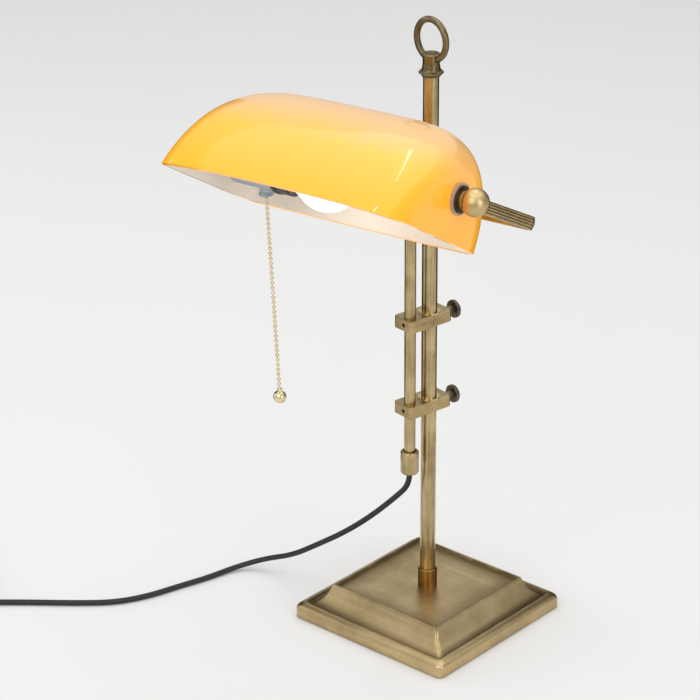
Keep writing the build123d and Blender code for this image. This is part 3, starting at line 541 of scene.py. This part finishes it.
def opal_glass():
    """The milk-white inner casing: warm white, smooth, with a faint even painted glow."""
    material = new_material("opal_inner_glass")
    place = add_node(material, "ShaderNodeTexCoord").outputs["Object"]
    cloud = add_node(material, "ShaderNodeTexNoise", {"Vector": place, "Scale": 1 / (60 * MM), "Detail": 2.0})
    tone = add_node(material, "ShaderNodeMix", {"Factor": cloud.outputs["Fac"], "A": linear("F2EAE0"),
                                                "B": linear("E6DACC")}, data_type="RGBA")
    shader = add_node(material, "ShaderNodeBsdfPrincipled", {
        "Base Color": tone.outputs["Result"], "Roughness": 0.3, "IOR": 1.5,
        # Painted glow: a faint even emission, for light coming through the opal.
        "Emission Color": linear("FFE9CF"), "Emission Strength": 0.06})
    return finish_material(material, shader)


shade.data.materials.append(amber_glass())
shade.data.materials.append(opal_glass())
apply_modifier(shade, "SOLIDIFY", thickness=SHADE_WALL, offset=-1, use_even_offset=True, material_offset=1,
               material_offset_rim=0)
for side in (-1, 1):
    bpy.ops.mesh.primitive_cylinder_add(vertices=48, radius=STUD_HOLE_R, depth=30 * MM,
                                        location=(side * SHADE_L / 2, 0, 0), rotation=(0, pi / 2, 0))
    drill = bpy.context.object
    bpy.ops.object.transform_apply(location=True, rotation=True, scale=True)
    apply_modifier(shade, "BOOLEAN", operation="DIFFERENCE", object=drill, solver="EXACT")
    bpy.data.objects.remove(drill)
shade.data.transform(shade_place)
smooth(shade, 50)
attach(shade, "shade")
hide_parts("shade_glass")
print("shade:", len(shade.data.polygons), "faces")

# %% [markdown]
# ## The base
# The base cover is a brass pressing with soft corners: an upright skirt, a round shoulder, a deep
# cove up to a raised edge, and a flat panel set inside it. It is one square outline with rounded
# corners, extruded and resized from step to step, then hollowed from below.

# %% Base pressing
BASE_HALF = 85.0
SHOULDER = (76.2, 9.0, 14.4)                     # groove half width, skirt height, groove height
RIDGE = (60.0, 31.0)
PANEL = (56.8, 27.6)
BASE_CORNER = 6.0 * MM

groove, skirt_z, groove_z = SHOULDER
LIP = groove + 1.4                               # where the shoulder's round ends, just outside the groove
GROOVE_DEPTH = 1.1
profile = [(0.5, BASE_HALF - 0.4), (1.0, BASE_HALF), (skirt_z, BASE_HALF)]
for i in range(1, 9):
    angle = i / 8 * pi / 2
    profile.append((skirt_z + (groove_z - skirt_z) * sin(angle), LIP + (BASE_HALF - LIP) * cos(angle)))
foot_z = groove_z - GROOVE_DEPTH
profile += [(foot_z, groove + 0.5), (foot_z, groove)]
for i in range(1, 13):                           # the cove, a curve that starts flat and ends steep
    t = i / 12
    inward = 2 * t * (1 - t) * 0.70 + t * t
    upward = 2 * t * (1 - t) * 0.30 + t * t
    profile.append((foot_z + upward * (RIDGE[1] - foot_z), groove - inward * (groove - RIDGE[0])))
profile += [(RIDGE[1], RIDGE[0] - 1.6), (PANEL[1], PANEL[0]), (PANEL[1], PANEL[0] - 3.0)]
base = pulled_outline("base_pressing", [(z * MM, half * MM, half * MM) for z, half in profile], corner=BASE_CORNER)
only(base)
bpy.ops.object.mode_set(mode="EDIT")
bpy.ops.mesh.select_all(action="DESELECT")
bpy.ops.object.mode_set(mode="OBJECT")
for vertex in base.data.vertices:                # resizing kept the corner's share: tighten it towards the ridge
    x, y, z = (c / MM for c in vertex.co)
    half = max(abs(x), abs(y))
    radius = BASE_CORNER / MM * half / BASE_HALF
    tightened = radius * (1 - 0.7 * min(max((z - groove_z) / (RIDGE[1] - groove_z), 0), 1))
    if min(abs(x), abs(y)) > half - radius:
        fresh = [(half - tightened + (abs(c) - half + radius) * tightened / radius) * (1 if c > 0 else -1)
                 for c in (x, y)]
        vertex.co.x, vertex.co.y = (c * MM for c in fresh)
for face in base.data.polygons:
    face.select = face.normal.z < -0.9
bpy.ops.object.mode_set(mode="EDIT")
bpy.ops.mesh.delete(type="FACE")
bpy.ops.object.mode_set(mode="OBJECT")
apply_modifier(base, "SOLIDIFY", thickness=1.6 * MM, offset=-1)
apply_modifier(base, "BEVEL", width=0.45 * MM, segments=3, limit_method="ANGLE", angle_limit=radians(28))
smooth(base, 40)
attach(base, "base")
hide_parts("base_cover")
print("base:", len(base.data.polygons), "faces")

# %% [markdown]
# ## Turned parts
# Balls, caps and tubes are turned on a lathe, and brass shows every flat of a coarse mesh in its
# reflections. So the parts whose highlights matter most are turned again here: one half outline
# is spun about its axis, as the lathe does, in enough steps to look round. Their places and
# lengths are measured from the frame's own nodes, so that they stay true to it.

# %% A lathe
def turned(name, outline, place, steps=96):
    """Spin a closed or axis-to-axis outline of (radius, height) about Z and put it in its place."""
    mesh = bpy.data.meshes.new(name)
    mesh.from_pydata([(r, 0, z) for r, z in outline], [(i, i + 1) for i in range(len(outline) - 1)], [])
    piece = bpy.data.objects.new(name, mesh)
    bpy.context.scene.collection.objects.link(piece)
    only(piece)
    bpy.ops.object.mode_set(mode="EDIT")
    bpy.ops.mesh.select_all(action="SELECT")
    bpy.ops.mesh.spin(steps=steps, angle=2 * pi, center=(0, 0, 0), axis=(0, 0, 1))
    bpy.ops.mesh.select_all(action="SELECT")
    bpy.ops.mesh.remove_doubles(threshold=0.002 * MM)
    bpy.ops.mesh.normals_make_consistent(inside=False)
    bpy.ops.object.mode_set(mode="OBJECT")
    mesh.transform(place)
    smooth(piece, 30)
    return piece


def quarter(radius, height, edge, top):
    """A rounded outer edge at a height, from the side inwards at the top or outwards at the foot."""
    points = []
    for i in range(5):
        swing = i / 4 * pi / 2
        points.append((radius - edge + edge * cos(swing), height + (-edge + edge * sin(swing)) * (1 if top else -1)))
    return points if top else points[::-1]


def tube_outline(outer, inner, low, high, edge):
    """A tube's half outline, closed, with its outer edges rounded."""
    return ([(inner, low)] + quarter(outer, low, edge, top=False) + quarter(outer, high, edge, top=True)
            + [(inner, high), (inner, low)])


def replace_turned(piece, node, body):
    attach(piece, body)
    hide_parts(node)
    return piece


def upright(low, high):
    """The place of an upright part's axis, from its node's box."""
    return Matrix.Translation(((low.x + high.x) / 2, (low.y + high.y) / 2, 0))


# %% Ball knobs and the pull's ball
BALL_SEAT = 6.8 * MM                             # from the ball's middle to the face it seats with
BALL_BORE_R = 5.0 * MM
knobs = []
for side, node, (low, high) in ((-1, "left_ball_knob", (left_low, left_high)),
                                (1, "right_ball_knob", (right_low, right_high))):
    radius = (high.z - low.z) / 2
    outer_x = high.x if side > 0 else low.x
    middle = Vector((outer_x - side * radius, (low.y + high.y) / 2, (low.z + high.z) / 2))
    bore_top = 3.4 * MM
    outline = [(0, bore_top), (BALL_BORE_R, bore_top), (BALL_BORE_R, -BALL_SEAT)]
    seat_angle = atan2(-BALL_SEAT, (radius**2 - BALL_SEAT**2) ** 0.5)
    for i in range(33):
        angle = seat_angle + (pi / 2 - seat_angle) * i / 32
        outline.append((radius * cos(angle), radius * sin(angle)))
    place = (Matrix.Translation(middle) @ Matrix.Rotation(HEAD_YAW, 4, "Z")
             @ Matrix.Rotation(side * pi / 2, 4, "Y"))
    knobs.append(replace_turned(turned(node + "_turned", outline, place), node, node))
low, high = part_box("pull_ball")
PULL_BALL_R = 5.6 * MM
PULL_NECK_R = 2.2 * MM
middle_z = low.z + PULL_BALL_R
outline = [(0, low.z)]
neck_angle = pi / 2 - atan2(PULL_NECK_R, PULL_BALL_R)
for i in range(1, 25):
    angle = -pi / 2 + (neck_angle + pi / 2) * i / 24
    outline.append((PULL_BALL_R * cos(angle), middle_z + PULL_BALL_R * sin(angle)))
outline += [(PULL_NECK_R, high.z - 0.5 * MM), (PULL_NECK_R - 0.5 * MM, high.z), (0, high.z)]
pull_ball = turned("pull_ball_turned", outline, upright(low, high), steps=48)
replace_turned(pull_ball, "pull_ball", "pull_chain")

# %% Post, rod and rod cap
POST_BORE_R, ROD_BORE_R, ROD_R = 5.4 * MM, 3.6 * MM, 5.0 * MM
TUBE_EDGE = 0.3 * MM
tubes = []
for node, body, bore in (("main_post", "base", POST_BORE_R), ("cord_rod", "carriage", ROD_BORE_R)):
    low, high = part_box(node)
    outline = tube_outline((high.x - low.x) / 2, bore, low.z, high.z, TUBE_EDGE)
    tubes.append(replace_turned(turned(node + "_turned", outline, upright(low, high)), node, body))
low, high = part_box("rod_cap")
radius = (high.x - low.x) / 2
outline = [(ROD_R, low.z)] + quarter(radius, low.z, 2.1 * MM, top=False) + quarter(radius, high.z, 1.3 * MM, top=True)
outline += [(radius - 1.9 * MM, high.z), (ROD_R, high.z - 1.2 * MM), (ROD_R, low.z)]
rod_cap = replace_turned(turned("rod_cap_turned", outline, upright(low, high)), "rod_cap", "carriage")
print("turned parts:", len(knobs) + len(tubes) + 2)

# %% [markdown]
# ## Metals
# The lamp is brass that was darkened in a bath, then brushed until the high places came back and
# lacquered. To the eye that is a greyed yellow metal with fine lines along each tube, cloudy from
# place to place. Every metal here starts from the same idea: a cloud for the patina, and a noise
# stretched along the brushing for the lines.

# %% Brushed metal
def brushed_metal(name, bright, dark, lines_along, roughness, cloud_mm=22.0, line_mm=(0.9, 45.0), bump=0.05):
    """Metal with patina clouds and brush lines; line_mm is their width and length."""
    material = new_material(name)
    place = add_node(material, "ShaderNodeTexCoord").outputs["Object"]
    across, along = (1 / (x * MM) for x in line_mm)
    scale = Vector([along if axis in lines_along else across for axis in "XYZ"])
    stretched = add_node(material, "ShaderNodeMapping", {"Vector": place, "Scale": scale})
    lines = add_node(material, "ShaderNodeTexNoise", {"Vector": stretched.outputs["Vector"], "Scale": 1.0,
                                                      "Detail": 3.0, "Roughness": 0.6})
    cloud = add_node(material, "ShaderNodeTexNoise", {"Vector": place, "Scale": 1 / (cloud_mm * MM),
                                                      "Detail": 4.0, "Roughness": 0.55})
    both = add_node(material, "ShaderNodeMix", {"Factor": 0.45, "A": cloud.outputs["Fac"],
                                                "B": lines.outputs["Fac"]}, data_type="FLOAT")
    share = add_node(material, "ShaderNodeMapRange", {"Value": both.outputs["Result"], "From Min": 0.34,
                                                      "From Max": 0.66})
    tone = add_node(material, "ShaderNodeMix", {"Factor": share.outputs["Result"], "A": linear(dark),
                                                "B": linear(bright)}, data_type="RGBA")
    rough = add_node(material, "ShaderNodeMapRange", {"Value": both.outputs["Result"],
                                                      "To Min": roughness + 0.12, "To Max": roughness - 0.10})
    relief = add_node(material, "ShaderNodeBump", {"Height": lines.outputs["Fac"], "Strength": bump,
                                                   "Distance": 0.1 * MM})
    shader = add_node(material, "ShaderNodeBsdfPrincipled", {
        "Base Color": tone.outputs["Result"], "Metallic": 1.0, "Roughness": rough.outputs["Result"],
        "Normal": relief.outputs["Normal"]})
    return finish_material(material, shader)


upright_brass = brushed_metal("antique_brass_brushed_upright", "D0BA8C", "94805A", "Z", 0.25)
flat_brass = brushed_metal("antique_brass_brushed_flat", "C8B182", "937E55", "XY", 0.30, bump=0.03)


def base_brass_patina_and_painted_reflection():
    """The base's brass: darker in a band over the sunk panel's edge and the ridge's inner slope, partly patina and
    partly a painted reflection of that dark slope, and darker along the groove.
    """
    material = brushed_metal("antique_brass_base", "D8C092", "A48E66", "X", 0.34, cloud_mm=35.0, line_mm=(0.7, 60.0),
                             bump=0.02)
    tree = material.node_tree
    shader = next(n for n in tree.nodes if n.type == "BSDF_PRINCIPLED")
    body_tone = shader.inputs["Base Color"].links[0].from_socket
    place = add_node(material, "ShaderNodeTexCoord").outputs["Object"]
    parts = add_node(material, "ShaderNodeSeparateXYZ", {"Vector": place})
    out_x = add_node(material, "ShaderNodeMath", {0: parts.outputs["X"]}, operation="ABSOLUTE")
    out_y = add_node(material, "ShaderNodeMath", {0: parts.outputs["Y"]}, operation="ABSOLUTE")
    out = add_node(material, "ShaderNodeMath", {0: out_x.outputs[0], 1: out_y.outputs[0]}, operation="MAXIMUM")
    cloud = add_node(material, "ShaderNodeTexNoise", {"Vector": place, "Scale": 1 / (18 * MM), "Detail": 3.0})
    wander = add_node(material, "ShaderNodeMath", {0: cloud.outputs["Fac"], 1: 0.035}, operation="MULTIPLY")
    share = add_node(material, "ShaderNodeMath", {0: out.outputs[0], 1: 1 / (BASE_HALF * MM), 2: wander.outputs[0]},
                     operation="MULTIPLY_ADD")
    patina_and_painted_reflection_bands = add_node(material, "ShaderNodeValToRGB", {"Fac": share.outputs[0]})
    bands = patina_and_painted_reflection_bands.color_ramp
    bands.elements[0].position, bands.elements[0].color = 0.0, (0, 0, 0, 1)
    bands.elements[1].position, bands.elements[1].color = 1.0, (0, 0, 0, 1)
    inner, ridge, lip = PANEL[0] / BASE_HALF, RIDGE[0] / BASE_HALF, groove / BASE_HALF
    # Patina and painted reflection in the band at the panel's edge; the band at the groove only makes the groove
    # darker.
    for position, level in ((inner - 0.20, 0.0), (inner - 0.03, 0.45), (inner + 0.03, 0.80), (ridge + 0.005, 0.35),
                            (ridge + 0.03, 0.0), (lip - 0.05, 0.10), (lip + 0.02, 0.85), (lip + 0.05, 0.15)):
        element = bands.elements.new(position)
        element.color = (level, level, level, 1)
    # The dark tone that the bands mix in: patina, and a painted reflection at the panel's edge.
    tone = add_node(material, "ShaderNodeMix", {"Factor": patina_and_painted_reflection_bands.outputs["Color"], "A": body_tone,
                                                "B": linear("4E4026")}, data_type="RGBA")
    tree.links.new(tone.outputs["Result"], shader.inputs["Base Color"])
    return material


base_brass = base_brass_patina_and_painted_reflection()
dark_brass = brushed_metal("aged_dark_brass", "6E5B3C", "3E3220", "", 0.42)
# A lighter copy of the brass for the knobs: a painted highlight.
knob_brass = brushed_metal("antique_brass_knob_painted_highlight", "DCC490", "A68F5E", "", 0.36, bump=0.03)
# A darker copy of the brass, for the finial ring and collar.
finial_brass = brushed_metal("antique_brass_dark", "8F7F5C", "5A4E36", "Z", 0.30)
warm_brass = brushed_metal("antique_brass_warm", "B08A50", "7C5E34", "Z", 0.30)
bright_brass = brushed_metal("lacquered_bright_brass", "F4E6C2", "D8C596", "", 0.16, cloud_mm=6.0)
bronze = brushed_metal("blackened_bronze", "857C68", "4A453A", "", 0.38, cloud_mm=5.0)
zinc = brushed_metal("zinc_plate", "C4C6C9", "9A9DA1", "", 0.30, cloud_mm=8.0)
iron = brushed_metal("rough_cast_iron", "4A4A49", "2C2C2C", "", 0.65, cloud_mm=4.0, bump=0.3)
rolled_cap = brushed_metal("rolled_lamp_cap", "CFCFCF", "A9A9AA", "", 0.28, cloud_mm=9.0)

# %% [markdown]
# ## The other finishes
# Satin enamel on the lampholder, phenolic mouldings, glazed ceramic, soft clear vinyl under the
# glass and pressed wool felt below the base. Each is a cloud of two close tones with its own
# roughness and grain, sized to the real material.

# %% Plain finishes
def grained(name, light, dark, roughness, cloud_mm, grain_mm, grain_depth, **shader_inputs):
    """A non-metal of two close tones with a grain of its own size and depth, in mm."""
    material = new_material(name)
    place = add_node(material, "ShaderNodeTexCoord").outputs["Object"]
    cloud = add_node(material, "ShaderNodeTexNoise", {"Vector": place, "Scale": 1 / (cloud_mm * MM), "Detail": 3.0})
    grain = add_node(material, "ShaderNodeTexNoise", {"Vector": place, "Scale": 1 / (grain_mm * MM), "Detail": 5.0})
    tone = add_node(material, "ShaderNodeMix", {"Factor": cloud.outputs["Fac"], "A": linear(dark),
                                                "B": linear(light)}, data_type="RGBA")
    bump = add_node(material, "ShaderNodeBump", {"Height": grain.outputs["Fac"], "Strength": 0.5,
                                                 "Distance": grain_depth * MM})
    inputs = {"Base Color": tone.outputs["Result"], "Roughness": roughness, "Normal": bump.outputs["Normal"]}
    inputs.update({key.replace("_", " "): value for key, value in shader_inputs.items()})
    return finish_material(material, add_node(material, "ShaderNodeBsdfPrincipled", inputs))


enamel = grained("satin_grey_enamel", "AEB6BA", "949DA3", 0.35, 30, 1.5, 0.02, Metallic=0.3)
phenolic = grained("phenolic_moulding", "1C1C1D", "121213", 0.38, 12, 1.0, 0.02)
ceramic = grained("glazed_ceramic", "F0EDE6", "E2DDD2", 0.15, 8, 3.0, 0.02)
vinyl = grained("soft_clear_vinyl", "E2CFC9", "D3BDB6", 0.25, 10, 2.0, 0.03, Transmission_Weight=0.45)
felt = grained("pressed_wool_felt", "24402F", "16291E", 0.95, 6, 0.7, 0.35, Sheen_Weight=0.4)


def lit_lamp_glass():
    """Frosted white lamp glass, switched on: near white, its glow uneven with the frost."""
    material = new_material("frosted_lamp_glass")
    place = add_node(material, "ShaderNodeTexCoord").outputs["Object"]
    frost = add_node(material, "ShaderNodeTexNoise", {"Vector": place, "Scale": 1 / (12 * MM), "Detail": 2.0})
    glow = add_node(material, "ShaderNodeMix", {"Factor": frost.outputs["Fac"], "A": linear("FFF6E6"),
                                                "B": linear("FFFDF8")}, data_type="RGBA")
    shader = add_node(material, "ShaderNodeBsdfPrincipled", {
        "Base Color": linear("F8F6F0"), "Roughness": 0.3, "IOR": 1.5,
        "Emission Color": glow.outputs["Result"], "Emission Strength": 1.7})
    return finish_material(material, shader)


# %% Give every node its finish
finishes = {
    "antique_brass": upright_brass, "aged_dark_brass": dark_brass, "bright_brass": bright_brass,
    "dark_bronze": bronze, "cast_ballast": iron, "zinc_steel": zinc, "grey_enamel": enamel,
    "black_bakelite": phenolic, "insulator_ceramic": ceramic, "clear_vinyl": vinyl,
    "lamp_glass": lit_lamp_glass(), "lamp_cap_metal": rolled_cap, "black_cord": rubber, "green_felt": felt,
    "amber_glass": shade.data.materials[0],
}
own_finish = {"upper_clamp_block": flat_brass, "lower_clamp_block": flat_brass, "yoke_frame": flat_brass,
              "left_ball_knob": knob_brass, "right_ball_knob": knob_brass, "finial_ring": finial_brass,
              "finial_collar": finial_brass, "foot_collar": warm_brass, "switch_bell": enamel}
for subpart in frame["record"]["subparts"]:
    name = subpart["node"]
    mesh = frame["nodes"][name].data
    mesh.materials.clear()
    mesh.materials.append(own_finish.get(name, finishes[subpart["material_slot"]]))
base.data.materials.append(base_brass)
for piece in knobs:
    piece.data.materials.append(knob_brass)
for piece in tubes + [rod_cap]:
    piece.data.materials.append(upright_brass)
pull_ball.data.materials.append(bright_brass)
